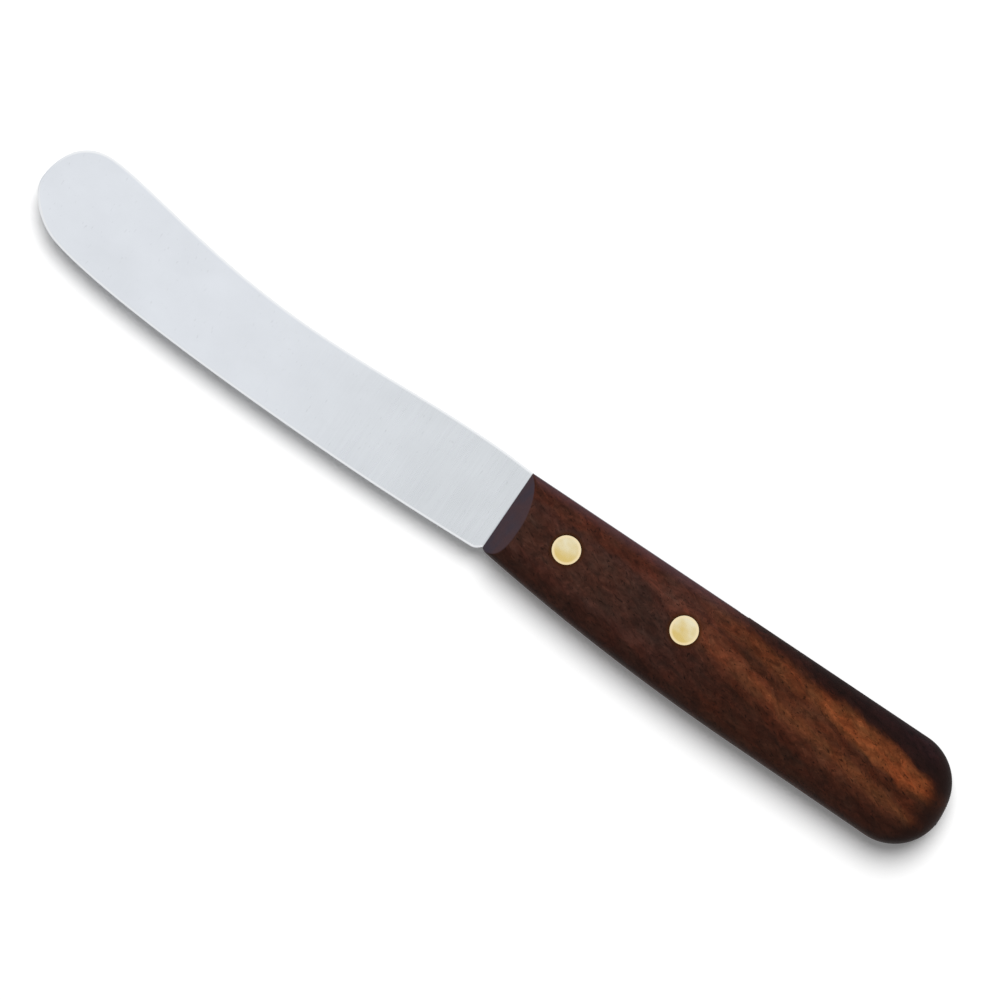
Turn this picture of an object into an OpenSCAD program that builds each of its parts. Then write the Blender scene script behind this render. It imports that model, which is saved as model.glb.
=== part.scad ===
// Butter knife with a broad round-tipped blade and a riveted wooden handle.
// The flat tang of the blade sits in a saw cut that runs into the handle from its front end.
// Two brass rivets hold it, each made of a tube half and a post half.
// The knife lies on its side: +X runs from tip to butt, +Y towards the back, +Z is up.

/* [Blade] */
// Length of the blade in front of the handle
blade_length = 117; // [105:1:130]
// Thickness of the sheet that blade and tang are cut from
sheet_thickness = 1.2; // [1.0:0.1:1.6]
// Thickness at the heel just above the sharpened bevel
edge_thickness = 0.45; // [0.35:0.05:0.7]
// How much thinner the blade is at the tip than at the heel
tip_thinning = 0.25; // [0.1:0.05:0.35]
// Distance of the spine's crest from the handle
crest_at = 10.5; // [6:0.5:16]
// Rise of the spine's crest above the handle's back
crest_rise = 0.4; // [0.1:0.1:1]
// Distance of the lowest point of the hollow spine from the handle
hollow_at = 54; // [44:1:64]
// Depth of the hollow below the handle's back
hollow_depth = 1.05; // [0.4:0.05:2]
// Length of the tip round on the spine's side
tip_top_length = 10; // [8:0.1:13]
// Height of the tip above the handle's back
tip_rise = 4.65; // [3:0.05:6]
// Height of the foremost point of the tip above the rivet line
tip_point = 2.5; // [0:0.1:4]
// Length of the tip round on the edge's side
tip_edge_length = 9.5; // [8:0.1:12]
// How far the edge has risen above the handle's front corner where the tip round begins
tip_lift = 2.3; // [1:0.1:3.5]
// Slope of the edge where the tip round begins
tip_slope = 15; // [10:1:20]
// Distance of the lowest point of the edge from the handle
edge_low_at = 35; // [25:1:50]
// How far the edge hangs below the handle's front corner at its lowest
edge_drop = 2.05; // [1.6:0.05:3]
// Length of the rounded heel corner
heel_run = 2.4; // [1.5:0.1:4]
// How far the heel hangs below the handle's front corner
heel_drop = 1.25; // [0.8:0.05:1.5]
// Width of the sharpened bevel on each side
bevel_width = 0.45; // [0.3:0.05:0.9]
// Thickness left at the very edge
edge_land = 0.1; // [0.06:0.02:0.2]

/* [Handle] */
// Length of the handle
handle_length = 108.5; // [100:0.5:120]
// Height of the back above the rivet line at the front end
front_back = 9.2; // [8:0.1:10.5]
// Depth of the front corner below the rivet line
front_belly = 9.1; // [8:0.1:10.5]
// Height of the back above the rivet line near the butt
rear_back = 10.05; // [9.2:0.05:11]
// Depth of the belly below the rivet line near the butt
rear_belly = 13.7; // [12.6:0.1:15]
// Distance over which the belly swells to its full depth
belly_run = 63; // [50:1:75]
// Length of the softened lower front corner
corner_run = 1.5; // [0.8:0.1:3]
// Depth of the softened lower front corner
corner_drop = 0.6; // [0.2:0.05:1]
// Thickness at the front end
front_thickness = 10; // [9:0.1:11.5]
// Thickness of the rear half
rear_thickness = 12.2; // [11:0.1:14]
// Distance over which the handle swells to its full thickness
swell_run = 60; // [40:1:75]
// Share of the width, from the back, at which a cross-section is thickest
crown_share = 0.55; // [0.45:0.01:0.65]
// Fullness of the cross-section on the back's side, where 2 is an ellipse
back_fullness = 1.8; // [1.6:0.1:3]
// Fullness of the cross-section on the belly's side, where 2 is an ellipse
belly_fullness = 3.2; // [2:0.1:4]
// Radius of the two corners of the butt
butt_corner_radius = 11; // [9.5:0.1:11.4]
// Radius of the crowned end of the butt
butt_crown_radius = 22; // [18:0.5:30]
// Depth of the rearmost point of the butt below the rivet line
butt_drop = 3.3; // [1.5:0.1:5]
// Length over which the butt is rounded off in thickness
butt_round = 8; // [6:0.5:11]
// Slope of the two front facets to the blade
facet_angle = 45; // [35:1:55]
// Height of the square land between the tang and each facet
facet_land = 0.3; // [0.2:0.05:0.6]

/* [Tang and saw cut] */
// Length of the tang behind the rear rivet
tang_overrun = 8.6; // [6:0.2:14]
// Radius of the corners at the end of the tang
tang_corner = 1.5; // [0.8:0.1:3]
// How far the edges of the tang lie below the surface of the handle
tang_setback = 0.15; // [0.05:0.05:0.3]
// Play between the tang and each wall of the saw cut
slot_play = 0.03; // [0.02:0.01:0.1]
// Gap between the end of the tang and the end of the saw cut
slot_end_gap = 0.3; // [0.2:0.1:1]
// Radius of the round saw that leaves the curved end of the cut
saw_radius = 60; // [40:5:100]

/* [Rivets] */
// Distance of the front rivet from the front end of the handle
front_rivet_at = 14.4; // [12:0.2:18]
// Distance between the two rivets
rivet_spacing = 29; // [24:0.5:33]
// Diameter of the rivet heads
head_diameter = 6; // [5.4:0.1:7]
// Height of a head at its middle
head_height = 1.7; // [1.3:0.1:2.2]
// Outside diameter of the tube half
barrel_diameter = 4; // [3.6:0.1:4.6]
// Bore of the tube half
barrel_bore = 2.6; // [2.2:0.1:2.9]
// Play of the heads in the wood
head_play = 0.03; // [0.02:0.01:0.08]
// Play of the tube half in the wood
barrel_play = 0.05; // [0.03:0.01:0.12]
// Play of the tube half in the holes of the tang
tang_hole_play = 0.1; // [0.05:0.05:0.25]
// Play of the post in the tube half
post_play = 0.02; // [0.01:0.01:0.05]
// Gap left at the end of the tube half and of the post
rivet_end_gap = 0.4; // [0.2:0.1:0.8]

/* [Hidden] */
$fn = 96;
// Points round each cross-section of the handle
ring_points = 44;
// How far a cutting tool reaches past the piece that it cuts
overshoot = 30;
// Overlap where two shapes of one piece are joined
weld = 0.2;
rear_rivet_at = front_rivet_at + rivet_spacing;
tang_length = rear_rivet_at + tang_overrun;

// Corners of the blade outline, from the heel round the tip and back to the heel
heel_back = [0, front_back];
crest = [-crest_at, front_back + crest_rise];
hollow = [-hollow_at, front_back - hollow_depth];
tip_top = [tip_top_length - blade_length, front_back + tip_rise];
tip_end = [-blade_length, tip_point];
edge_start = [tip_edge_length - blade_length, tip_lift - front_belly];
edge_low = [-edge_low_at, -front_belly - edge_drop];
heel_start = [-heel_run, -front_belly - heel_drop];
heel_end = [0, -front_belly];
edge_way = [cos(tip_slope), -sin(tip_slope)];

// Flat grind: how fast the half thickness falls from the spine down and from the heel forward
grind_fall = (sheet_thickness - edge_thickness) / 2 / (front_back + front_belly + edge_drop);
grind_taper = tip_thinning / 2 / blade_length;

// Middle points of the butt's end arc and of its two corner arcs
butt_middle = [handle_length - butt_crown_radius, -butt_drop];
back_corner = corner_middle(rear_back - butt_corner_radius);
belly_corner = corner_middle(butt_corner_radius - rear_belly);
back_join = arc_join(back_corner);
belly_join = arc_join(belly_corner);
butt_start = min(back_corner.x, belly_corner.x);
slot_half = sheet_thickness / 2 + slot_play;

// Places of the cross-sections along the handle, closest at the front corner and the butt
ring_places = concat(
    [for (i = [0:4]) corner_run * i / 5],
    [for (i = [0:17]) mix(corner_run, butt_start, i / 18)],
    [for (i = [0:15]) mix(butt_start, handle_length, sin(90 * i / 16))]);

function mix(a, b, share) = a + (b - a) * share;

// Point on a cubic curve with four control points
function curve_point(p, t) =
    pow(1 - t, 3) * p[0] + 3 * t * pow(1 - t, 2) * p[1] + 3 * t * t * (1 - t) * p[2] + pow(t, 3) * p[3];
function curve(p, steps) = [for (i = [0:steps - 1]) curve_point(p, i / steps)];

// Cubic from a to b, with the two middle points given as shares of the way from a to b
function swing(a, b, out_x, out_y, in_x, in_y) = [
    a, a + [(b.x - a.x) * out_x, (b.y - a.y) * out_y],
    b - [(b.x - a.x) * in_x, (b.y - a.y) * in_y], b];

function spine_line() = concat(
    curve(swing(heel_back, crest, 0.4, 0.5, 0.4, 0), 4),
    curve(swing(crest, hollow, 0.41, 0, 0.41, 0), 14),
    curve(swing(hollow, tip_top, 0.47, 0, 0.17, 0), 20));
function edge_line() = concat(
    curve(swing(tip_top, tip_end, 0.73, 0, 0, 0.46), 20),
    curve([tip_end, [tip_end.x, mix(tip_end.y, edge_start.y, 0.38)],
           edge_start - edge_way * (edge_start.x - tip_end.x) / 2, edge_start], 14),
    curve([edge_start, edge_start + edge_way * (edge_low.x - edge_start.x) * 0.19,
           [mix(edge_low.x, edge_start.x, 0.34), edge_low.y], edge_low], 20),
    curve(swing(edge_low, heel_start, 0.4, 0, 0.3, 0.5), 10),
    [heel_start]);
function heel_line() =
    let (corner = [0, heel_start.y],
         p = [heel_start, mix(heel_start, corner, 0.6), mix(heel_end, heel_start, 0.15), heel_end])
    [for (i = [1:8]) curve_point(p, i / 8)];

// Half thickness of the ground blade
function ground_half(p) =
    sheet_thickness / 2 - grind_fall * (front_back - p.y) + grind_taper * p.x;

function corner_middle(y) = [
    butt_middle.x + sqrt(pow(butt_crown_radius - butt_corner_radius, 2) - pow(y - butt_middle.y, 2)), y];
function arc_join(c) = butt_middle + (c - butt_middle) * butt_crown_radius / norm(c - butt_middle);
function arc_rise(x, c, radius) = sqrt(max(0, radius * radius - pow(x - c.x, 2)));

// Upper and lower outline of the handle
function back_y(x) =
    x <= back_corner.x ? mix(front_back, rear_back, x / back_corner.x)
    : x <= back_join.x ? back_corner.y + arc_rise(x, back_corner, butt_corner_radius)
    : butt_middle.y + arc_rise(x, butt_middle, butt_crown_radius);
function belly_y(x) =
    x <= belly_corner.x ? swell_y(x) + corner_rise(x)
    : x <= belly_join.x ? belly_corner.y - arc_rise(x, belly_corner, butt_corner_radius)
    : butt_middle.y - arc_rise(x, butt_middle, butt_crown_radius);
function swell_y(x) =
    -rear_belly + (rear_belly - front_belly - corner_drop) * pow(max(0, 1 - x / belly_run), 2);
function corner_rise(x) = corner_drop * (1 - sqrt(1 - pow(max(0, 1 - x / corner_run), 2)));

// Cross-section of the handle
function crown_y(x) = mix(back_y(x), belly_y(x), crown_share);
function half_height(x) =
    mix(front_thickness, rear_thickness, sin(90 * min(1, x / swell_run))) / 2
    * sqrt(max(0, 1 - pow(max(0, x - handle_length + butt_round) / butt_round, 2)));
function ring(x) = [for (i = [0:ring_points - 1])
    let (a = 360 * i / ring_points,
         reach = cos(a) > 0 ? back_y(x) - crown_y(x) : crown_y(x) - belly_y(x),
         power = 2 / (cos(a) > 0 ? back_fullness : belly_fullness))
    [x, crown_y(x) + sign(cos(a)) * reach * pow(abs(cos(a)), power),
     half_height(x) * sign(sin(a)) * pow(abs(sin(a)), power)]];

// Height of the handle's surface above the blade's middle plane
function skin_height(x, y) =
    let (off = y - crown_y(x),
         reach = off > 0 ? back_y(x) - crown_y(x) : crown_y(x) - belly_y(x),
         power = off > 0 ? back_fullness : belly_fullness)
    half_height(x) * pow(1 - pow(min(1, abs(off) / reach), power), 1 / power);

// Height of the shoulder that a rivet head sits on
function head_seat(x) = skin_height(x, 0) - head_height;

// The box of the whole knife is centred on the origin and stands on the ground
module place() {
    translate([(blade_length - handle_length) / 2,
               (rear_belly - front_back - tip_rise) / 2,
               max(front_thickness, rear_thickness) / 2])
        children();
}

module both_sides() {
    children();
    mirror([0, 0, 1]) children();
}

// Flat blank of the blade with its tang
module blank() {
    end_low = belly_y(tang_length) + tang_setback;
    end_high = back_y(tang_length) - tang_setback;
    turn = tang_length - tang_corner;
    linear_extrude(sheet_thickness, center = true)
        polygon(concat(
            spine_line(),
            edge_line(),
            heel_line(),
            [for (i = [0:5]) [corner_run * i / 5, belly_y(corner_run * i / 5) + tang_setback]],
            [for (i = [1:9]) let (x = mix(corner_run, turn, i / 10)) [x, belly_y(x) + tang_setback]],
            [for (a = [270:15:360]) [turn, end_low + tang_corner] + tang_corner * [cos(a), sin(a)]],
            [for (a = [0:15:90]) [turn, end_high - tang_corner] + tang_corner * [cos(a), sin(a)]],
            [[0, front_back - tang_setback]]));
}

// What the grinding wheel takes off one side of the blade
module grind() {
    intersection() {
        translate([0, front_back, sheet_thickness / 2])
            rotate([atan(grind_fall), -atan(grind_taper), 0])
                translate([-blade_length - overshoot, -2 * overshoot, 0])
                    cube([blade_length + 2 * overshoot, 4 * overshoot, overshoot]);
        translate([-blade_length - 2 * overshoot, -3 * overshoot, -overshoot])
            cube([blade_length + 2 * overshoot, 6 * overshoot, 3 * overshoot]);
    }
}

// What the sharpening takes off one side of the edge, growing to its full depth round the tip
module bevel() {
    heel_gap = 0.1;
    first_depth = 0.02;
    growing_steps = 24;
    out = 0.4;
    path = concat(edge_line(), [heel_start + [heel_run - heel_gap, heel_gap]]);
    count = len(path) - 1;
    rings = [for (i = [0:count - 1])
        let (way = path[i + 1] - path[i],
             side = [way.y, -way.x] / norm(way),
             middle = path[i] + way / 2,
             inner = middle - side * bevel_width,
             keep = mix(ground_half(middle) - first_depth, edge_land / 2, min(1, i / growing_steps)),
             lean = (ground_half(inner) - keep) / bevel_width,
             top = inner - side * out,
             far = middle + side * out)
        [[top.x, top.y, ground_half(inner) + lean * out],
         [far.x, far.y, keep - lean * out],
         [far.x, far.y, sheet_thickness]]];
    polyhedron(
        [for (r = rings) each r],
        concat(
            [[2, 1, 0], [3 * count - 3, 3 * count - 2, 3 * count - 1]],
            [for (i = [0:count - 2], k = [0:2]) [3 * i + 3 + k, 3 * i + k, 3 * i + 3 + (k + 1) % 3]],
            [for (i = [0:count - 2], k = [0:2]) [3 * i + 3 + (k + 1) % 3, 3 * i + k, 3 * i + (k + 1) % 3]]));
}

// Full form of the handle before any cut
module handle_form() {
    n = ring_points;
    last = n * (len(ring_places) - 1);
    polyhedron(
        concat([for (x = ring_places) each ring(x)], [[handle_length, -butt_drop, 0]]),
        concat(
            [[for (i = [0:n - 1]) i]],
            [for (r = [0:n:last - n], i = [0:n - 1]) [r + i, r + n + i, r + n + (i + 1) % n]],
            [for (r = [0:n:last - n], i = [0:n - 1]) [r + i, r + n + (i + 1) % n, r + (i + 1) % n]],
            [for (i = [0:n - 1]) [last + i, last + n, last + (i + 1) % n]]));
}

// Saw cut with the round end that the saw leaves
module slot() {
    reach = max(back_y(tang_length), -belly_y(tang_length));
    middle = tang_length + slot_end_gap - sqrt(saw_radius * saw_radius - reach * reach);
    intersection() {
        translate([-overshoot, -overshoot, -slot_half])
            cube([tang_length + 2 * overshoot, 2 * overshoot, 2 * slot_half]);
        translate([middle, 0, -overshoot])
            cylinder(h = 2 * overshoot, r = saw_radius);
    }
}

// Half space in front of one front facet
module facet_cut() {
    translate([0, 0, slot_half + facet_land])
        rotate([0, -facet_angle, 0])
            translate([-overshoot, -overshoot, 0])
                cube([2 * overshoot, 2 * overshoot, overshoot]);
}

// Stepped hole for one rivet
module rivet_hole(x) {
    translate([x, 0, -overshoot])
        cylinder(h = 2 * overshoot, d = barrel_diameter + 2 * barrel_play);
    both_sides()
        translate([x, 0, head_seat(x)])
            cylinder(h = overshoot, d = head_diameter + 2 * head_play);
}

// Rivet head ground flush with the wood
module rivet_head(x) {
    intersection() {
        translate([x, 0, head_seat(x)])
            cylinder(h = overshoot, d = head_diameter);
        handle_form();
    }
}

module rivet_tube(x) {
    foot = rivet_end_gap - head_seat(x);
    difference() {
        union() {
            rivet_head(x);
            translate([x, 0, foot])
                cylinder(h = head_seat(x) - foot + weld, d = barrel_diameter);
        }
        translate([x, 0, foot - overshoot])
            cylinder(h = head_seat(x) - foot + overshoot, d = barrel_bore);
    }
}

module rivet_post(x) {
    mirror([0, 0, 1])
        rivet_head(x);
    translate([x, 0, -head_seat(x) - weld])
        cylinder(h = 2 * head_seat(x) + weld - rivet_end_gap, d = barrel_bore - 2 * post_play);
}

module blade() {
    color([0.84, 0.86, 0.88])
        place()
            difference() {
                blank();
                both_sides() grind();
                both_sides() bevel();
                for (x = [front_rivet_at, rear_rivet_at])
                    translate([x, 0, -overshoot])
                        cylinder(h = 2 * overshoot, d = barrel_diameter + 2 * tang_hole_play);
            }
}

module handle() {
    color([0.26, 0.15, 0.12])
        place()
            difference() {
                handle_form();
                slot();
                both_sides() facet_cut();
                rivet_hole(front_rivet_at);
                rivet_hole(rear_rivet_at);
            }
}

module front_rivet_tube() {
    color([0.86, 0.76, 0.45])
        place()
            rivet_tube(front_rivet_at);
}

module front_rivet_post() {
    color([0.8, 0.69, 0.38])
        place()
            rivet_post(front_rivet_at);
}

module rear_rivet_tube() {
    color([0.86, 0.76, 0.45])
        place()
            rivet_tube(rear_rivet_at);
}

module rear_rivet_post() {
    color([0.8, 0.69, 0.38])
        place()
            rivet_post(rear_rivet_at);
}

blade();
handle();
front_rivet_tube();
front_rivet_post();
rear_rivet_tube();
rear_rivet_post();
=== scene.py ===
# %% [markdown]
# # A butter knife, dressed in Blender
# The knife is a thin stainless blade, a hardwood handle that is sawn open for the tang, and two brass
# rivets of two halves each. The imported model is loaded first. It fixes where every piece sits and how
# large it is, and nothing below moves it. The lesson then draws a finer skin for each piece, in the same
# place, and gives it the finish of the real material.

# %% Load the fixed frame
import math
import bmesh
import bpy
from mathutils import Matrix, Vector


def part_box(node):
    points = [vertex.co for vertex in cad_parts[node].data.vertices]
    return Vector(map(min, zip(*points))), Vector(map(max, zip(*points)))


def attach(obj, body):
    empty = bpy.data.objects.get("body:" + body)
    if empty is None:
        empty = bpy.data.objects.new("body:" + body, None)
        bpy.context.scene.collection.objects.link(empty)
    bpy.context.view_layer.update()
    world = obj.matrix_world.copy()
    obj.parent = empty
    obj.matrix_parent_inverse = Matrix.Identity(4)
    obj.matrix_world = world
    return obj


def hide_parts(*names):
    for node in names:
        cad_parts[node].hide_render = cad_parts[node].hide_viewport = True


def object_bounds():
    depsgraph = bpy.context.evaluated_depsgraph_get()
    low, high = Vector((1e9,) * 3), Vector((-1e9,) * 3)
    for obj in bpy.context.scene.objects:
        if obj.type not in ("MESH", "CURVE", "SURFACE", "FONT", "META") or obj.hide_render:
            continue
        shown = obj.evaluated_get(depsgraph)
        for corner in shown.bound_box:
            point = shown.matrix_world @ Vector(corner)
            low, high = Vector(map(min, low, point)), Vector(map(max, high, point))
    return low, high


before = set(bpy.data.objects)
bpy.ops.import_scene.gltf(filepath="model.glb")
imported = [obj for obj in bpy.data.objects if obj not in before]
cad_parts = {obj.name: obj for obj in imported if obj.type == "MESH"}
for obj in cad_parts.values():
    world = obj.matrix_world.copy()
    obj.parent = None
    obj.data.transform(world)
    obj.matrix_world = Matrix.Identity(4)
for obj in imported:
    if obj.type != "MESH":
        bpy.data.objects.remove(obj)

cad_low, cad_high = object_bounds()
print("frame nodes:", sorted(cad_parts))
print("knife measures (mm):", [round(1000 * side, 2) for side in cad_high - cad_low])

# %% [markdown]
# ## Where the knife is drawn from
# A knife maker measures from the front end of the handle, on the line through the rivets, in the middle of
# the sheet. The same point serves here: x runs back into the handle, y towards the back of the knife and z
# up. Overall sizes are read from the frame, so that skin and solid can't drift apart.

# %% Read the main sizes from the frame, in millimetres
MM = 0.001
handle_low, handle_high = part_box("handle")
blade_low, blade_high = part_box("blade")
front_low, front_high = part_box("front_rivet_tube")
rear_low, rear_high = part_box("rear_rivet_tube")
origin = Vector((handle_low.x, (front_low.y + front_high.y) / 2, (handle_low.z + handle_high.z) / 2))

blade_length = (origin.x - blade_low.x) / MM
tang_length = (blade_high.x - origin.x) / MM
handle_length = (handle_high.x - handle_low.x) / MM
rear_back = (handle_high.y - origin.y) / MM
rear_belly = (origin.y - handle_low.y) / MM
rear_thickness = (handle_high.z - handle_low.z) / MM
head_radius = (front_high.x - front_low.x) / 2 / MM
front_rivet_at = ((front_low.x + front_high.x) / 2 - origin.x) / MM
rear_rivet_at = ((rear_low.x + rear_high.x) / 2 - origin.x) / MM
print(f"blade {blade_length:.1f}, tang {tang_length:.1f}, handle {handle_length:.1f} mm long")
print(f"rivets {2 * head_radius:.1f} mm wide at {front_rivet_at:.1f} and {rear_rivet_at:.1f} mm")

# %% [markdown]
# ## One way to make every skin: the loft
# Each piece of a knife can be told as a row of closed rings: cross-sections along the handle, circles up a
# rivet, or outlines stacked through the sheet of the blade. Primitives with bevels would be quicker, but
# then the long curves would be only approximate. A loft joins ring to ring with quads and closes both
# ends, and the cuts that a workshop makes afterwards, with a saw or a drill, are Boolean steps.

# %% Make a piece from rings
def to_frame(point):
    """A point in millimetres from the handle's front end, as a place in the frame."""
    return origin + Vector(point) * MM


def loft(name, rings):
    """A closed piece through rings that all have the same number of points."""
    count = len(rings[0])
    points = [to_frame(point) for ring in rings for point in ring]
    faces = [tuple(range(count))]
    for start in range(0, count * (len(rings) - 1), count):
        for i in range(count):
            j = (i + 1) % count
            faces.append((start + i, start + j, start + count + j, start + count + i))
    faces.append(tuple(range(len(points) - count, len(points))))
    mesh = bpy.data.meshes.new(name)
    mesh.from_pydata(points, [], faces)
    shape = bmesh.new()
    shape.from_mesh(mesh)
    bmesh.ops.recalc_face_normals(shape, faces=shape.faces)
    shape.to_mesh(mesh)
    shape.free()
    piece = bpy.data.objects.new(name, mesh)
    bpy.context.scene.collection.objects.link(piece)
    return piece


# %% Join two pieces or cut one with another
def combine(piece, tool, operation):
    """Apply a Boolean step to the piece and take the tool away."""
    step = piece.modifiers.new("workshop", "BOOLEAN")
    step.object = tool
    step.operation = operation
    step.solver = "EXACT"
    shaped = piece.evaluated_get(bpy.context.evaluated_depsgraph_get())
    piece.data = bpy.data.meshes.new_from_object(shaped)
    piece.modifiers.clear()
    bpy.data.objects.remove(tool)


def smooth(piece, crease):
    """Shade round forms smoothly, and keep flats flat and edges sharper than the crease angle crisp."""
    mesh = piece.data
    mesh.polygons.foreach_set("use_smooth", [True] * len(mesh.polygons))
    mesh.set_sharp_from_angle(angle=math.radians(crease))
    flats = piece.modifiers.new("flat faces stay flat", "WEIGHTED_NORMAL")
    flats.keep_sharp = True
    print(f"{piece.name}: {len(mesh.vertices)} points, {len(mesh.polygons)} faces")


# %% [markdown]
# ## The blade's outline
# The blade is cut from 1.2 mm sheet. Its spine rises a little in front of the handle, dips, and then climbs
# to the broad round tip that spreads the butter. The cutting edge hangs in one long shallow bow. A few
# knots joined by cubic curves hold all of that, the way a maker bends a spline through nails on a template.

# %% Curves between the knots of the outline
def mix(a, b, share):
    """The value at a share of the way from a to b."""
    return a + (b - a) * share


def curve(p0, p1, p2, p3, steps):
    """Points on a cubic curve, without its last one."""
    found = []
    for i in range(steps):
        t = i / steps
        s = 1 - t
        found.append(s**3 * p0 + 3 * s * s * t * p1 + 3 * s * t * t * p2 + t**3 * p3)
    return found


def swing(a, b, leave, arrive, steps):
    """A cubic from a to b whose middle points lie at shares of the way from a to b."""
    way = b - a
    return curve(a, a + way * Vector(leave), b - way * Vector(arrive), b, steps)


# %% Knots of the spine, the tip and the edge
front_back = 9.2
front_belly = 9.1
heel_back = Vector((0, front_back))
crest = Vector((-10.5, front_back + 0.4))
hollow = Vector((-54, front_back - 1.05))
tip_top = Vector((10 - blade_length, front_back + 4.65))
tip_end = Vector((-blade_length, 2.5))
edge_start = Vector((9.5 - blade_length, 2.3 - front_belly))
edge_low = Vector((-35, -front_belly - 2.05))
heel_start = Vector((-2.4, -front_belly - 1.25))
heel_end = Vector((0, -front_belly))
tip_slope = math.radians(15)
edge_way = Vector((math.cos(tip_slope), -math.sin(tip_slope)))

spine = (
    swing(heel_back, crest, (0.4, 0.5), (0.4, 0), 12)
    + swing(crest, hollow, (0.41, 0), (0.41, 0), 40)
    + swing(hollow, tip_top, (0.47, 0), (0.17, 0), 60)
)
tip_round = swing(tip_top, tip_end, (0.73, 0), (0, 0.46), 40) + curve(
    tip_end,
    Vector((tip_end.x, mix(tip_end.y, edge_start.y, 0.38))),
    edge_start - edge_way * (edge_start.x - tip_end.x) / 2,
    edge_start,
    30,
)
edge = curve(
    edge_start,
    edge_start + edge_way * (edge_low.x - edge_start.x) * 0.19,
    Vector((mix(edge_low.x, edge_start.x, 0.34), edge_low.y)),
    edge_low,
    60,
) + swing(edge_low, heel_start, (0.4, 0), (0.3, 0.5), 30)
heel_corner = Vector((0, heel_start.y))
heel = curve(
    heel_start,
    mix(heel_start, heel_corner, 0.6),
    mix(heel_end, heel_start, 0.15),
    heel_end,
    16,
) + [heel_end]
outline = spine + tip_round + edge + heel
print("blade outline:", len(outline), "points")

# %% [markdown]
# ## Grinding the blade
# A full flat grind thins the sheet from the spine down to the edge, and a little from the heel to the tip.
# A narrow bevel then makes it cut, and the spine is polished round so that it is kind to the finger. All of
# it happens along the rim, so the rings are offset outlines: the first and last ones are the two ground
# flats, and the ones between step over the rim. A Bevel modifier couldn't be a spine at one end of the same
# rim and a cutting edge at the other.

# %% Offset outlines over the rim
sheet_half = 0.6
half_at_bevel = 0.45 / 2
tip_thinning = 0.25 / 2
grind_fall = (sheet_half - half_at_bevel) / (front_back - edge_low.y)
grind_taper = tip_thinning / blade_length
bevel_width = 0.45
edge_half = 0.05
spine_round = 0.7
spine_drop = 0.24
rim_steps = 5


def ground_half(point):
    """Half the thickness that the grind leaves at a point of the flat."""
    return sheet_half - grind_fall * (front_back - point.y) + grind_taper * point.x


def outward(i):
    """Direction out of the blade at a point of the outline."""
    if i in (0, len(outline) - 1):
        return Vector((0, 1 if i == 0 else -1))
    way = (outline[i + 1] - outline[i - 1]).normalized()
    return Vector((way.y, -way.x))


def rim_point(i, step, side):
    """A point of the rim: step 0 lies on the flat and the last step on the outline."""
    along = step / rim_steps
    turn = math.pi / 2 * along
    # 0 on the spine and 1 on the edge, blended round the tip and at the heel
    past_spine = min(1, max(0, (i - len(spine)) / len(tip_round)))
    before_end = min(1, (len(outline) - 1 - i) / len(heel))
    sharp = past_spine * before_end
    inset = mix(spine_round * (1 - math.sin(turn)), bevel_width * (1 - along), sharp)
    flat = outline[i] - outward(i) * mix(spine_round, bevel_width, sharp)
    place = outline[i] - outward(i) * inset
    thick = ground_half(flat)
    fall = mix(spine_drop * (1 - math.cos(turn)), (thick - edge_half) * along, sharp)
    return (place.x, place.y, side * (thick - fall))


rim = [[rim_point(i, step, 1) for i in range(len(outline))] for step in range(rim_steps + 1)]
rim += [[rim_point(i, step, -1) for i in range(len(outline))] for step in range(rim_steps, -1, -1)]
blade = loft("steel_blade", rim)
print("edge", 2 * edge_half, "mm thick, bevel", bevel_width, "mm wide")

# %% [markdown]
# ## The handle's form
# The handle is one piece of wood, shaped on a belt: a straight back, a belly that swells towards the hand,
# and a butt of three arcs. Every cross-section is a rounded oval, fuller on the belly side, so two outlines
# and a few formulas give the whole surface. Sculpting could look as soft, but a rivet head has to sit flush
# with this surface, and a formula can be asked for its height at any point.

# %% Outlines and height of the wood
belly_run = 63
corner_run = 1.5
corner_drop = 0.6
butt_corner_radius = 11
butt_crown_radius = 22
butt_middle = Vector((handle_length - butt_crown_radius, -3.3))


def butt_corner(y):
    """Middle of a corner arc of the butt, and the point where the end arc takes over."""
    reach = butt_crown_radius - butt_corner_radius
    middle = Vector((butt_middle.x + math.sqrt(reach**2 - (y - butt_middle.y) ** 2), y))
    return middle, butt_middle + (middle - butt_middle) * butt_crown_radius / reach


def arc(x, middle, radius):
    return math.sqrt(max(0, radius**2 - (x - middle.x) ** 2))


back_corner, back_join = butt_corner(rear_back - butt_corner_radius)
belly_corner, belly_join = butt_corner(butt_corner_radius - rear_belly)


def back_y(x):
    if x <= back_corner.x:
        return mix(front_back, rear_back, x / back_corner.x)
    if x <= back_join.x:
        return back_corner.y + arc(x, back_corner, butt_corner_radius)
    return butt_middle.y + arc(x, butt_middle, butt_crown_radius)


def belly_y(x):
    if x <= belly_corner.x:
        swell = (rear_belly - front_belly - corner_drop) * max(0, 1 - x / belly_run) ** 2
        softened = corner_drop * (1 - math.sqrt(1 - max(0, 1 - x / corner_run) ** 2))
        return -rear_belly + swell + softened
    if x <= belly_join.x:
        return belly_corner.y - arc(x, belly_corner, butt_corner_radius)
    return butt_middle.y - arc(x, butt_middle, butt_crown_radius)


print(f"handle {back_y(0) - belly_y(0):.1f} mm wide in front, {back_y(80) - belly_y(80):.1f} mm behind")

# %% Cross-sections of the wood
front_thickness = 10
swell_run = 60
butt_round = 8
crown_share = 0.55
back_fullness = 1.8
belly_fullness = 3.2


def half_height(x):
    swell = math.sin(math.pi / 2 * min(1, x / swell_run))
    end = max(0, x - handle_length + butt_round) / butt_round
    return mix(front_thickness, rear_thickness, swell) / 2 * math.sqrt(max(0, 1 - end**2))


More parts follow.
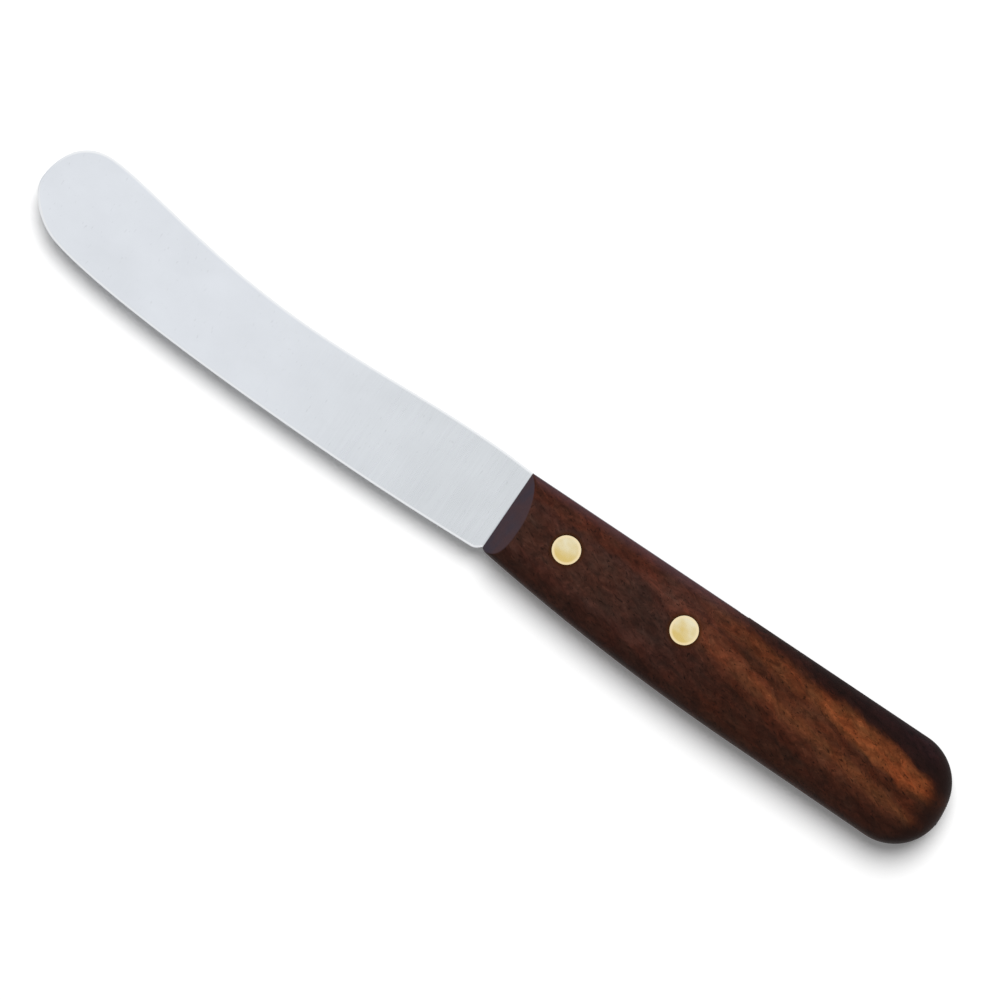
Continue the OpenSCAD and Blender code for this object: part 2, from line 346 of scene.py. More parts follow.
def side_of(x, toward_back):
    """Crown line, reach to the outline and fullness of one side of a cross-section."""
    crown = mix(back_y(x), belly_y(x), crown_share)
    if toward_back:
        return crown, back_y(x) - crown, back_fullness
    return crown, belly_y(x) - crown, belly_fullness


def skin_height(x, y):
    """Height of the wood above the middle of the sheet."""
    crown, reach, fullness = side_of(x, y > mix(back_y(x), belly_y(x), crown_share))
    off = min(1, abs((y - crown) / reach))
    return half_height(x) * (1 - off**fullness) ** (1 / fullness)


print(f"wood stands {skin_height(front_rivet_at, 0):.2f} mm high at the front rivet")

# %% [markdown]
# ## Front facets
# In front, the wood falls to the blade in two 45 degree facets, one on each face. A Boolean cut would leave
# a razor-sharp arris. On the knife it was broken with abrasive paper, so the facet is worked into the
# rings: each height is blended with the facet's plane by a soft minimum, which rounds only the arris.

# %% Loft the handle
slot_half = sheet_half + 0.03
facet_foot = slot_half + 0.3
facet_slope = math.tan(math.radians(45))
arris_round = 0.45
ring_points = 144


def soft_min(a, b, width):
    blend = min(1, max(0, 0.5 + 0.5 * (b - a) / width))
    return mix(b, a, blend) - width * blend * (1 - blend)


def handle_ring(x):
    ring = []
    for i in range(ring_points):
        turn = 2 * math.pi * (i + 0.5) / ring_points
        crown, reach, fullness = side_of(x, math.cos(turn) > 0)
        bulge = half_height(x) * abs(math.sin(turn)) ** (2 / fullness)
        height = soft_min(bulge, facet_foot + x * facet_slope, arris_round)
        y = crown + reach * abs(math.cos(turn)) ** (2 / fullness)
        ring.append((x, y, math.copysign(height, math.sin(turn))))
    return ring


facet_end = 6
butt_start = 95
# At the very end a ring would shrink to a line, so the last one stands just before it
last_ring = handle_length - 0.004
places = [facet_end * i / 48 for i in range(48)]
places += [mix(facet_end, butt_start, i / 72) for i in range(72)]
places += [mix(butt_start, last_ring, math.sin(math.pi / 2 * i / 40)) for i in range(41)]
handle = loft("wood_handle", [handle_ring(x) for x in places])
print("handle:", len(places), "cross-sections of", ring_points, "points")

# %% [markdown]
# ## Saw cut and drilled holes
# A round saw opens the handle from the front for half its length. Both rivet holes are drilled through wood
# and tang together and then counterbored for the heads. The tools are lofts too, taken away by Boolean
# steps. The mouth of each counterbore is eased by a hair, which shades a thin ring round the brass; the
# wood's colour deepens that ring with painted shade.

# %% Saw the slot
saw_radius = 60
end_play = 0.3
saw_reach = max(back_y(tang_length), -belly_y(tang_length))
saw_middle = tang_length + end_play - math.sqrt(saw_radius**2 - saw_reach**2)
saw_swing = math.radians(25)
# The saw's outline starts and ends well outside the wood
saw_line = [(-10, -30)]
for turn in [mix(-saw_swing, saw_swing, i / 24) for i in range(25)]:
    saw_line.append((saw_middle + saw_radius * math.cos(turn), saw_radius * math.sin(turn)))
saw_line.append((-10, 30))
saw = loft("saw", [[(x, y, z) for x, y in saw_line] for z in (-slot_half, slot_half)])
combine(handle, saw, "DIFFERENCE")
print(f"saw cut {2 * slot_half:.2f} mm wide, {saw_middle + saw_radius:.1f} mm deep in the middle")

# %% Drill and counterbore the rivet holes
head_height = 1.7
barrel_radius = 2
bore_radius = 1.3
head_play = 0.03
barrel_play = 0.05
mouth_ease = 0.14
turn_points = 72


def circle(at, radius, height):
    """A ring round a rivet's axis, level or at a height that depends on the place."""
    ring = []
    for i in range(turn_points):
        turn = 2 * math.pi * i / turn_points
        x, y = at + radius * math.cos(turn), radius * math.sin(turn)
        ring.append((x, y, height(x, y) if callable(height) else height))
    return ring


def hole_side(at, up):
    """Rings of the drill from the middle of the handle out of one face."""
    seat = skin_height(at, 0) - head_height
    hole = head_radius + head_play
    # Radius and height above the skin of the wood: into the mouth, over it and clear of the wood
    mouth = [(hole, -mouth_ease), (hole + mouth_ease, 0.02), (hole + mouth_ease, 2)]
    rings = [circle(at, barrel_radius + barrel_play, up * seat), circle(at, hole, up * seat)]
    for radius, above in mouth:
        rings.append(circle(at, radius, lambda x, y: up * (skin_height(x, y) + above)))
    return rings


for at in (front_rivet_at, rear_rivet_at):
    combine(handle, loft("drill", hole_side(at, -1)[::-1] + hole_side(at, 1)), "DIFFERENCE")
handle_crease = 40
smooth(handle, handle_crease)

# %% [markdown]
# ## Tang
# Behind the heel the sheet keeps its full thickness and runs into the saw cut as the tang. The grinding
# wheel leaves a small hollow ramp where it stops against the handle. The edges of the tang are sanded
# together with the wood and lie only a hair below its surface. Ramp and tang are one loft along the knife,
# joined to the ground blade by a Boolean union and drilled for the rivets.

# %% Join tang and blade, and drill the tang
tang_start = 0.02
tang_setback = 0.05
tang_corner = 1.5
ramp_length = 0.9
ramp_foot = 0.2
ramp_inset = 1.2
hole_play = 0.1


def tang_ring(x, low, high, half):
    return [(x, low, -half), (x, high, -half), (x, high, half), (x, low, half)]


rings = []
for i in range(9):
    share = i / 8
    x = -ramp_length * (1 - share)
    half = mix(ramp_foot, sheet_half, 1 - math.sqrt(1 - share**2))
    rings.append(tang_ring(x, ramp_inset - front_belly, front_back - ramp_inset, half))
turn_at = tang_length - tang_corner
for x in [mix(tang_start, turn_at, i / 24) for i in range(25)]:
    rings.append(tang_ring(x, belly_y(x) + tang_setback, back_y(x) - tang_setback, sheet_half))
low_end = belly_y(tang_length) + tang_setback + tang_corner
high_end = back_y(tang_length) - tang_setback - tang_corner
for turn in [math.pi / 2 * i / 6 for i in range(1, 7)]:
    round_off = tang_corner * math.cos(turn)
    x = turn_at + tang_corner * math.sin(turn)
    rings.append(tang_ring(x, low_end - round_off, high_end + round_off, sheet_half))
combine(blade, loft("tang", rings), "UNION")
hole_radius = barrel_radius + hole_play
for at in (front_rivet_at, rear_rivet_at):
    drill = loft("drill", [circle(at, hole_radius, side * 2 * sheet_half) for side in (-1, 1)])
    combine(blade, drill, "DIFFERENCE")
blade_crease = 14
smooth(blade, blade_crease)

# %% [markdown]
# ## Rivets
# Each rivet is two turned brass pieces: a post that is driven into a tube, each with a flat head. After
# driving, the heads are ground down together with the wood, so their tops carry the handle's own curve. A
# lathe profile gives rings round the axis, and the rings of the head take their height from the skin.

# %% Turn the rivet halves
rim_width = 0.22
rim_drop = 0.07
post_play = 0.02
end_gap = 0.4


def head_rings(at, up):
    """Rings of a head from the middle of its crown over the rim to its shoulder."""
    rings = []
    flat = head_radius - rim_width
    for radius in [flat * share / 8 for share in range(1, 9)]:
        rings.append(circle(at, radius, lambda x, y: up * skin_height(x, y)))
    rings.append(circle(at, head_radius, lambda x, y: up * (skin_height(x, y) - rim_drop)))
    rings.append(circle(at, head_radius, up * (skin_height(at, 0) - head_height)))
    return rings


def rivet_tube(name, at):
    seat = skin_height(at, 0) - head_height
    walls = [(barrel_radius, seat), (barrel_radius, end_gap - seat), (bore_radius, end_gap - seat)]
    walls.append((bore_radius, seat))
    return loft(name, head_rings(at, 1) + [circle(at, radius, height) for radius, height in walls])


def rivet_post(name, at):
    seat = skin_height(at, 0) - head_height
    walls = [(bore_radius - post_play, -seat), (bore_radius - post_play, seat - end_gap)]
    return loft(name, head_rings(at, -1) + [circle(at, radius, height) for radius, height in walls])


rivets = {
    "front_rivet_tube": rivet_tube("brass_front_tube", front_rivet_at),
    "front_rivet_post": rivet_post("brass_front_post", front_rivet_at),
    "rear_rivet_tube": rivet_tube("brass_rear_tube", rear_rivet_at),
    "rear_rivet_post": rivet_post("brass_rear_post", rear_rivet_at),
}
rivet_crease = 30
for half in rivets.values():
    smooth(half, rivet_crease)

# %% [markdown]
# ## Small helpers for materials
# Colours are picked on screen as sRGB hex values, but the shaders count in linear light, so one function
# translates them. A second one adds a node, sets its inputs and links it, which keeps each material below
# readable from top to bottom, in the order in which the surface was made. The third draws noise in lumps of
# a given size, the fourth measures from a rivet's axis, and the last one starts a material. Every pattern
# reads the piece's own place in millimetres. Where a real pattern is too fine for a picture, the text says
# that it is drawn coarser.

# %% Colours and nodes
def linear(hex_colour):
    """An sRGB hex colour as linear red, green, blue and alpha."""
    values = [int(hex_colour[i : i + 2], 16) / 255 for i in (1, 3, 5)]
    return (*[v / 12.92 if v <= 0.04045 else ((v + 0.055) / 1.055) ** 2.4 for v in values], 1)


def node(tree, kind, inputs=None, **settings):
    """Add a node; an input is set to a value, or linked if it is given a socket."""
    made = tree.nodes.new(kind)
    for name, value in settings.items():
        setattr(made, name, value)
    for key, value in (inputs or {}).items():
        socket = next(s for s in made.inputs if s.identifier == key)
        if isinstance(value, bpy.types.NodeSocket):
            tree.links.new(value, socket)
        else:
            socket.default_value = value
    return made


print("#BCBCBC on screen is", round(linear("#BCBCBC")[0], 2), "of white in linear light")

# %% Lumps and distances
# Radians about the knife's length, so that no pattern lies square to its faces
grain_roll = 0.25


def lumps(tree, place, size, lean=0, detail=2):
    """Noise in lumps of a size in millimetres, whose long side leans down towards the butt by degrees."""
    turned = node(
        tree,
        "ShaderNodeMapping",
        {"Vector": place, "Rotation": (grain_roll, 0, -math.radians(lean)), "Scale": size},
        vector_type="TEXTURE",
    )
    noise = {"Vector": turned.outputs[0], "Scale": 1, "Detail": detail, "Roughness": 0.6}
    return node(tree, "ShaderNodeTexNoise", noise)


def from_axis(tree, place, at):
    """Distance in millimetres from the axis of the rivet at a place along the handle."""
    flat = node(
        tree,
        "ShaderNodeMapping",
        {"Vector": place, "Location": (at, 0, 0), "Scale": (1, 1, 1000)},
        vector_type="TEXTURE",
    )
    length = node(tree, "ShaderNodeVectorMath", {"Vector": flat.outputs[0]}, operation="LENGTH")
    return length.outputs["Value"]


# %% Start a material
def new_material(name):
    """A material, its nodes, its place in millimetres from the handle's front end and where it faces."""
    material = bpy.data.materials.new(name)
    material.use_nodes = True
    tree = material.node_tree
    tree.nodes.clear()
    coordinates = node(tree, "ShaderNodeTexCoord")
    place = node(
        tree,
        "ShaderNodeVectorMath",
        {"Vector": coordinates.outputs["Object"], "Vector_001": origin},
        operation="SUBTRACT",
    )
    place = node(
        tree, "ShaderNodeVectorMath", {"Vector": place.outputs[0], "Scale": 1 / MM}, operation="SCALE"
    )
    facing = node(tree, "ShaderNodeSeparateXYZ", {"Vector": coordinates.outputs["Normal"]})
    return material, tree, place.outputs[0], facing


# %% [markdown]
# ## Satin stainless steel
# The blade is chromium steel, ground across its width on a fine wheel and dulled a little by polishing. The
# eye gets an even, cool light grey with slow clouds where the polish is closer. Close to the heel, where
# the wheel stops, it also gets faint lines across the blade. The real lines are about 0.03 mm wide. They
# are drawn 0.3 mm wide here, or they would vanish between two pixels.

# %% Clouds, grinding lines and marks of use
steel, tree, place, facing = new_material("satin_stainless_steel")
cloud_size = (12, 9, 9)
line_size = (0.3, 14, 14)
mark_size = (0.35, 1.4, 1.4)
clouds = lumps(tree, place, cloud_size, detail=4).outputs["Fac"]
marks = lumps(tree, place, mark_size, detail=1).outputs["Fac"]
along = node(tree, "ShaderNodeSeparateXYZ", {"Vector": place}).outputs["X"]
heelward = node(
    tree,
    "ShaderNodeMapRange",
    {"Value": along, "From Min": -75, "From Max": 0, "To Min": 0, "To Max": 1},
    interpolation_type="SMOOTHSTEP",
)
lines = node(
    tree,
    "ShaderNodeMix",
    {
        "Factor_Float": heelward.outputs[0],
        "A_Float": 0.5,
        "B_Float": lumps(tree, place, line_size, detail=3).outputs["Fac"],
    },
).outputs[0]
cloud_tone = node(
    tree,
    "ShaderNodeMapRange",
    {"Value": clouds, "From Min": 0.3, "From Max": 0.7, "To Min": 0.96, "To Max": 1.01},
)
line_tone = node(
    tree,
    "ShaderNodeMapRange",
    {"Value": lines, "From Min": 0.35, "From Max": 0.65, "To Min": 0.965, "To Max": 1.02},
)
mark_tone = node(
    tree,
    "ShaderNodeMapRange",
    {"Value": marks, "From Min": 0.7, "From Max": 0.78, "To Min": 1, "To Max": 0.88},
)
print(steel.name, "lines", line_size[0], "mm, clouds", cloud_size[0], "mm")

# %% [markdown]
# Spine and edge were polished once more after grinding. There the surface leans to the side, so a mask from
# the direction it faces finds them, and both get a painted highlight: a thin bright line along the blade.
# Where the tang runs inside the handle, its edges are drawn a darker grey.

# %% Colour of the steel
# Painted shade: the steel is drawn darker from the tip towards the heel
tip_hue, shaded_heel_hue = "#E0E4EA", "#D5D9DD"
shade = node(
    tree,
    "ShaderNodeMix",
    {"Factor_Float": heelward.outputs[0], "A_Color": linear(tip_hue), "B_Color": linear(shaded_heel_hue)},
    data_type="RGBA",
)
for factor in (cloud_tone, line_tone, mark_tone):
    shade = node(
        tree,
        "ShaderNodeMix",
        {"Factor_Float": 1, "A_Color": shade.outputs[2], "B_Color": factor.outputs[0]},
        data_type="RGBA",
        blend_type="MULTIPLY",
    )
# Painted highlights: facing towards the back where each begins and where it is full, and its colour
painted_highlights = [(0.03, 0.28, "#F3F5F7"), (-0.1, -0.2, "#E6E8EB")]
for least, most, hue in painted_highlights:
    highlight_mask = node(
        tree, "ShaderNodeMapRange", {"Value": facing.outputs["Y"], "From Min": least, "From Max": most}
    )
    shade = node(
        tree,
        "ShaderNodeMix",
        {"Factor_Float": highlight_mask.outputs[0], "A_Color": shade.outputs[2], "B_Color": linear(hue)},
        data_type="RGBA",
    )
# Where the tang runs inside the handle, its edges are drawn a darker grey
inside_handle = node(tree, "ShaderNodeMapRange", {"Value": along, "From Min": -0.1, "From Max": 0.1})
shade = node(
    tree,
    "ShaderNodeMix",
    {"Factor_Float": inside_handle.outputs[0], "A_Color": shade.outputs[2], "B_Color": linear("#B9BCC0")},
    data_type="RGBA",
)
print("steel", tip_hue, "at the tip,", shaded_heel_hue, "at the heel, with", len(painted_highlights), "polished rims")

# %% Shine of the steel
gloss = node(
    tree,
    "ShaderNodeMapRange",
    {"Value": lines, "From Min": 0.3, "From Max": 0.7, "To Min": 0.26, "To Max": 0.31},
)
relief = node(tree, "ShaderNodeBump", {"Height": lines, "Strength": 0.02, "Distance": 0.02 * MM})
shader = node(
    tree,
    "ShaderNodeBsdfPrincipled",
    {
        "Base Color": shade.outputs[2],
        "Metallic": 1,
        "Roughness": gloss.outputs[0],
        "Normal": relief.outputs[0],
    },
)
node(tree, "ShaderNodeOutputMaterial", {"Surface": shader.outputs[0]})
print(steel.name, "has", len(tree.nodes), "nodes")

# %% [markdown]
# ## Brass
# The rivet heads are yellow brass, ground flush and then buffed with the wood. Brass gives a warm, pale
# yellow reflection. Buffing leaves slightly duller, yellower patches. On the belly's side the heads are drawn
# darker and yellower as painted shade, and the rim of each head gets a painted highlight, a brighter ring.
# The fine marks of buffing run in all directions. They are drawn 0.35 mm wide, because the real ones, of
# about
# 0.03 mm, would vanish between two pixels.

# %% Patches, painted shade and painted rim highlights
brass, tree, place, facing = new_material("buffed_brass")
patch_size = (4, 3, 3)
patches = lumps(tree, place, patch_size, 30).outputs["Fac"]
backward = node(tree, "ShaderNodeSeparateXYZ", {"Vector": place}).outputs["Y"]
# Change per mm towards the back of the share of darker, yellower brass, which paints shade on the belly's
# side
painted_shade_per_mm = -0.1
tone = node(
    tree,
    "ShaderNodeMath",
    {"Value": backward, "Value_001": painted_shade_per_mm, "Value_002": patches},
    operation="MULTIPLY_ADD",
)
tone = node(tree, "ShaderNodeMapRange", {"Value": tone.outputs[0], "From Min": 0.25, "From Max": 0.75})
shade = node(
    tree,
    "ShaderNodeMix",
    {
        "Factor_Float": tone.outputs[0],
        "A_Color": linear("#E8DFBF"),
        "B_Color": linear("#D9C07A"),
    },
    data_type="RGBA",
)
# Painted highlight: a brighter ring drawn on the rim of each head, from where it starts to where it is full
highlight_starts, highlight_full = 0.65, 0.3
front_axis, rear_axis = [from_axis(tree, place, at) for at in (front_rivet_at, rear_rivet_at)]
nearest = node(tree, "ShaderNodeMath", {"Value": front_axis, "Value_001": rear_axis}, operation="MINIMUM")
rim_highlight = node(
    tree,
    "ShaderNodeMapRange",
    {
        "Value": nearest.outputs[0],
        "From Min": head_radius - highlight_starts,
        "From Max": head_radius - highlight_full,
        "To Min": 0,
        "To Max": 0.8,
    },
)
shade = node(
    tree,
    "ShaderNodeMix",
    {"Factor_Float": rim_highlight.outputs[0], "A_Color": shade.outputs[2], "B_Color": linear("#F4E0B6")},
    data_type="RGBA",
)
print(brass.name, "patches", patch_size[0], "mm, worn rims", highlight_starts, "mm wide")

# %% Marks and shine of the brass
mark_size = (0.35, 0.35, 0.35)
marks = lumps(tree, place, mark_size, detail=4).outputs["Fac"]
gloss = node(
    tree,
    "ShaderNodeMapRange",
    {"Value": marks, "From Min": 0.3, "From Max": 0.7, "To Min": 0.2, "To Max": 0.34},
)
relief = node(tree, "ShaderNodeBump", {"Height": marks, "Strength": 0.08, "Distance": 0.02 * MM})
shader = node(
    tree,
    "ShaderNodeBsdfPrincipled",
    {
        "Base Color": shade.outputs[2],
        "Metallic": 1,
        "Roughness": gloss.outputs[0],
        "Normal": relief.outputs[0],
    },
)
node(tree, "ShaderNodeOutputMaterial", {"Surface": shader.outputs[0]})
print(brass.name, "marks", mark_size[0], "mm")

# %% [markdown]
# ## Dark oiled hardwood
# The handle is a dark, plum-like hardwood, sanded and oiled. Heartwood of this kind grows in streaks, from
# orange brown to almost black, and here they fall a little towards the butt. They are layers in the solid,
# so they are drawn from the depth across the grain and not painted on the surface. That way they meet
# correctly over every edge of the handle. A slow shift of the place roughens their borders.

# %% Depth across the grain
wood, tree, place, facing = new_material("oiled_dark_hardwood")
shift_size = (7, 2.2, 2.2)
shift_reach = (5, 2.6, 2.6)
shift = lumps(tree, place, shift_size, 22, detail=3).outputs["Color"]
shift = node(
    tree, "ShaderNodeVectorMath", {"Vector": shift, "Vector_001": (0.5, 0.5, 0.5)}, operation="SUBTRACT"
)
moved = node(
    tree,
    "ShaderNodeVectorMath",
    {"Vector": shift.outputs[0], "Vector_001": shift_reach, "Vector_002": place},
    operation="MULTIPLY_ADD",
).outputs[0]
spot = node(tree, "ShaderNodeSeparateXYZ", {"Vector": moved}).outputs
streak_tilt = 0.15
tilted = node(
    tree,
    "ShaderNodeMath",
    {"Value": spot["Z"], "Value_001": streak_tilt, "Value_002": spot["Y"]},
    operation="MULTIPLY_ADD",
).outputs[0]
# The depth is read at this place along the handle. From there the streaks fall by so many mm per mm towards
# the butt, and a little more on the belly's side
read_at = 85
fall_per_mm = 0.13
fan = -0.002
from_there = node(
    tree, "ShaderNodeMath", {"Value": spot["X"], "Value_001": read_at}, operation="SUBTRACT"
).outputs[0]
fall = node(
    tree,
    "ShaderNodeMath",
    {"Value": tilted, "Value_001": fan, "Value_002": fall_per_mm},
    operation="MULTIPLY_ADD",
).outputs[0]
depth = node(
    tree,
    "ShaderNodeMath",
    {"Value": from_there, "Value_001": fall, "Value_002": tilted},
    operation="MULTIPLY_ADD",
).outputs[0]
print("streaks fall", fall_per_mm, "mm per mm towards the butt")

# %% Streaks of the heartwood
# Depth in mm, seen at the usual height of the handle's face, and colour
seen_height = 5.5
streaks = [
    (-14, "#2F180F"),
    (-9.8, "#2D170F"),
    (-8.0, "#34190F"),
    (-6.3, "#432215"),
    (-4.9, "#512B19"),
    (-3.6, "#58301B"),
    (-2.4, "#442315"),
    (-1.4, "#381B0F"),
    (-0.3, "#3B1E12"),
    (1.0, "#4C2816"),
    (2.5, "#552C18"),
    (3.5, "#452212"),
    (4.5, "#31170E"),
    (5.6, "#1F0E0A"),
    (7.0, "#190B09"),
    (12, "#1E1012"),
]
lowest, highest = streaks[0][0], streaks[-1][0]
lift = streak_tilt * seen_height
across = node(
    tree,
    "ShaderNodeMapRange",
    {"Value": depth, "From Min": lowest + lift, "From Max": highest + lift},
)
figure = node(tree, "ShaderNodeValToRGB", {"Fac": across.outputs[0]})
ramp = figure.color_ramp
while len(ramp.elements) < len(streaks):
    ramp.elements.new(0.5)
for stop, (at, colour) in zip(ramp.elements, streaks):
    stop.position = (at - lowest) / (highest - lowest)
    stop.color = linear(colour)
print(wood.name, "with", len(streaks), "streaks over", highest - lowest, "mm")

# %% [markdown]
# Towards the front the figure calms down to an even brown. Single clouds lie over it: a smoky eye between
# the rivets, where a small knot hides below the surface, and the bright heart of the streaks near the butt.

# %% Calm front and single clouds
calm_until, figured_from = 36, 60
calm = node(
    tree,
    "ShaderNodeMapRange",
    {"Value": spot["X"], "From Min": calm_until, "From Max": figured_from, "To Min": 1, "To Max": 0},
    interpolation_type="SMOOTHSTEP",
)
colour = node(
    tree,
    "ShaderNodeMix",
    {"Factor_Float": calm.outputs[0], "A_Color": figure.outputs[0], "B_Color": linear("#39211A")},
    data_type="RGBA",
).outputs[2]
# Middle and reach in mm, lean in degrees, colour and strength
clouds = [
    ((20, -1.2, 5), (28, 6, 7), 2, "#382219", 0.6),
    ((90, 2.3, 5), (22, 3.4, 8), 8, "#6E3A1E", 0.75),
    ((50, 1.2, 5), (14, 3.0, 6), 9, "#5C301E", 0.6),
    ((16, 7.2, 5), (30, 3.6, 6), 0, "#3D1D12", 0.8),
    ((34, -1.8, 5), (10, 5.2, 7), 3, "#2E1D17", 0.6),
    ((24, -10.5, 3), (44, 5, 6), 4, "#27130C", 0.75),
    ((104, -10, 3), (20, 5, 7), 0, "#27130C", 0.75),
    ((38, 3.8, 5), (9, 2.4, 6), 6, "#4C2B20", 0.6),
    ((75, -0.6, 5), (9, 2.2, 6), 8, "#5A321F", 0.5),
]
for middle, reach, lean, hue, strength in clouds:
    inside = node(
        tree,
        "ShaderNodeMapping",
        {"Vector": moved, "Location": middle, "Rotation": (0, 0, -math.radians(lean)), "Scale": reach},
        vector_type="TEXTURE",
    )
    inside = node(tree, "ShaderNodeVectorMath", {"Vector": inside.outputs[0]}, operation="LENGTH")
    inside = node(
        tree,
        "ShaderNodeMapRange",
        {"Value": inside.outputs["Value"], "From Min": 1, "From Max": 0.5, "To Min": 0, "To Max": strength},
        interpolation_type="SMOOTHSTEP",
    )
    colour = node(
        tree,
        "ShaderNodeMix",
        {"Factor_Float": inside.outputs[0], "A_Color": colour, "B_Color": linear(hue)},
        data_type="RGBA",
    ).outputs[2]
print("clouds at", ", ".join(f"{middle[0]} mm" for middle, *_ in clouds))

# %% [markdown]
# Finer patterns darken and lighten that colour: broad and small mottles, two sets of short strokes where the
# interlocked grain rises and falls, fibres along the streaks, pores, and dark and pale flecks. A pore is a
# cut vessel, about 0.2 mm wide and 1.5 mm long. It sits a little below the surface and stays almost black.
# Pores are drawn nearly twice as wide, and fibres in bundles of 0.4 mm, or a pixel would swallow them.

# %% Mottles, strokes, fibres, pores and flecks
fibres = lumps(tree, place, (14, 0.4, 0.4), 8, detail=3).outputs["Fac"]
pores = lumps(tree, moved, (1.4, 0.36, 0.36), 20, detail=1).outputs["Fac"]
# Pattern, the two noise values between which it works, and its factors there
patterns = [
    (lumps(tree, moved, (5.5, 1.9, 1.9), 12, detail=2).outputs["Fac"], 0.3, 0.7, 0.7, 1.3),
    (lumps(tree, moved, (1.7, 1.1, 1.1), 15, detail=3).outputs["Fac"], 0.3, 0.7, 0.67, 1.35),
    (lumps(tree, moved, (1.5, 0.6, 0.6), -28, detail=2).outputs["Fac"], 0.3, 0.7, 0.89, 1.12),
    (lumps(tree, moved, (1.8, 0.65, 0.65), 38, detail=2).outputs["Fac"], 0.3, 0.7, 0.88, 1.13),
    (fibres, 0.3, 0.7, 0.96, 1.05),
    (pores, 0.65, 0.72, 1, 0.36),
    (lumps(tree, moved, (0.8, 0.42, 0.42), 55, detail=1).outputs["Fac"], 0.65, 0.73, 1, 0.38),
    (lumps(tree, moved, (0.9, 0.45, 0.45), -20, detail=1).outputs["Fac"], 0.66, 0.76, 1, 1.45),
]
for pattern, least, most, dark, light in patterns:
    factor = node(
        tree,
        "ShaderNodeMapRange",
        {"Value": pattern, "From Min": least, "From Max": most, "To Min": dark, "To Max": light},
    )
    colour = node(
        tree,
        "ShaderNodeMix",
        {"Factor_Float": 1, "A_Color": colour, "B_Color": factor.outputs[0]},
        data_type="RGBA",
        blend_type="MULTIPLY",
    ).outputs[2]
print("wood patterns:", len(patterns))

# %% [markdown]
# The tint wanders too, because some layers took up more of the tree's red colouring than others. A last
# pattern moves it between a reddish and a greyish brown, as factors of red, green and blue.

# %% Wandering tint
reddish = (1.1, 0.93, 0.93, 1)
greyish = (0.9, 1.1, 1.23, 1)
tint_size = (6, 2.6, 2.6)
tint = lumps(tree, moved, tint_size, 10, detail=4).outputs["Fac"]
tint = node(tree, "ShaderNodeMapRange", {"Value": tint, "From Min": 0.32, "From Max": 0.68})
tint = node(
    tree,
    "ShaderNodeMix",
    {"Factor_Float": tint.outputs[0], "A_Color": reddish, "B_Color": greyish},
    data_type="RGBA",
)
colour = node(
    tree,
    "ShaderNodeMix",
    {"Factor_Float": 1, "A_Color": colour, "B_Color": tint.outputs[2]},
    data_type="RGBA",
    blend_type="MULTIPLY",
).outputs[2]
print("tint wanders over", tint_size[0], "mm")

# %% [markdown]
# Where the fibres are cut across, the wood looks different. The front facets turn a dull purple grey, partly
# end grain and partly a painted reflection. Round the butt the end grain drinks more oil, and where the end
# turns away from the lamp it is painted almost black, partly as shade. The front half of the back gets a
# painted sheen of the same purple, a reflection, and a thin dark ring of painted shade lies in the wood round
# each rivet. The direction that the surface faces tells the ends and the back apart.

# %% Cut ends, with painted reflection and painted shade
# The facet's purple grey is end grain with a painted reflection in it
facet_tone = node(
    tree,
    "ShaderNodeMapRange",
    {"Value": lumps(tree, place, (3, 7, 4)).outputs["Fac"], "From Min": 0.35, "From Max": 0.65},
)
facet_hue = node(
    tree,
    "ShaderNodeMix",
    {"Factor_Float": facet_tone.outputs[0], "A_Color": linear("#46363A"), "B_Color": linear("#3C363F")},
    data_type="RGBA",
).outputs[2]
# Facing along the knife where the change begins and where it is full, colour and strength. The first entry
# is the facet's purple grey, partly a painted reflection; the second darkens the butt, partly as painted
# shade
ends = [(-0.4, -0.62, facet_hue, 0.84), (0.04, 0.5, linear("#180A07"), 0.85)]
for least, most, hue, strength in ends:
    cut = node(
        tree,
        "ShaderNodeMapRange",
        {"Value": facing.outputs["X"], "From Min": least, "From Max": most, "To Min": 0, "To Max": strength},
        interpolation_type="SMOOTHSTEP",
    )
    colour = node(
        tree,
        "ShaderNodeMix",
        {"Factor_Float": cut.outputs[0], "A_Color": colour, "B_Color": hue},
        data_type="RGBA",
    ).outputs[2]
print("cut ends:", len(ends))

# %% Painted sheen on the back and rings of painted shade round the rivets
# Painted sheen: where the front half faces the back, the colour is drawn towards a purple reflection
painted_sheen = node(
    tree,
    "ShaderNodeMapRange",
    {"Value": facing.outputs["Y"], "From Min": 0.55, "From Max": 0.95, "To Min": 0, "To Max": 0.6},
)
painted_sheen = node(
    tree, "ShaderNodeMath", {"Value": painted_sheen.outputs[0], "Value_001": calm.outputs[0]}, operation="MULTIPLY"
)
colour = node(
    tree,
    "ShaderNodeMix",
    {"Factor_Float": painted_sheen.outputs[0], "A_Color": colour, "B_Color": linear("#523840")},
    data_type="RGBA",
).outputs[2]
# Painted shade: a thin dark ring drawn in the wood round each rivet head
shade_ring_width = 1
for at in (front_rivet_at, rear_rivet_at):
    ring = node(
        tree,
        "ShaderNodeMapRange",
        {
            "Value": from_axis(tree, place, at),
            "From Min": head_radius + shade_ring_width,
            "From Max": head_radius,
            "To Min": 0,
            "To Max": 0.8,
        },
        interpolation_type="SMOOTHSTEP",
    )
    colour = node(
        tree,
        "ShaderNodeMix",
        {"Factor_Float": ring.outputs[0], "A_Color": colour, "B_Color": linear("#341800")},
        data_type="RGBA",
    ).outputs[2]
print("paste rings", shade_ring_width, "mm wide")

# %% [markdown]
# Oil leaves a dull silk shine on the fibres, far below that of a lacquer. The specular level is therefore
# low, roughness follows the fibres, and in the relief the pores lie deeper than the fibres.

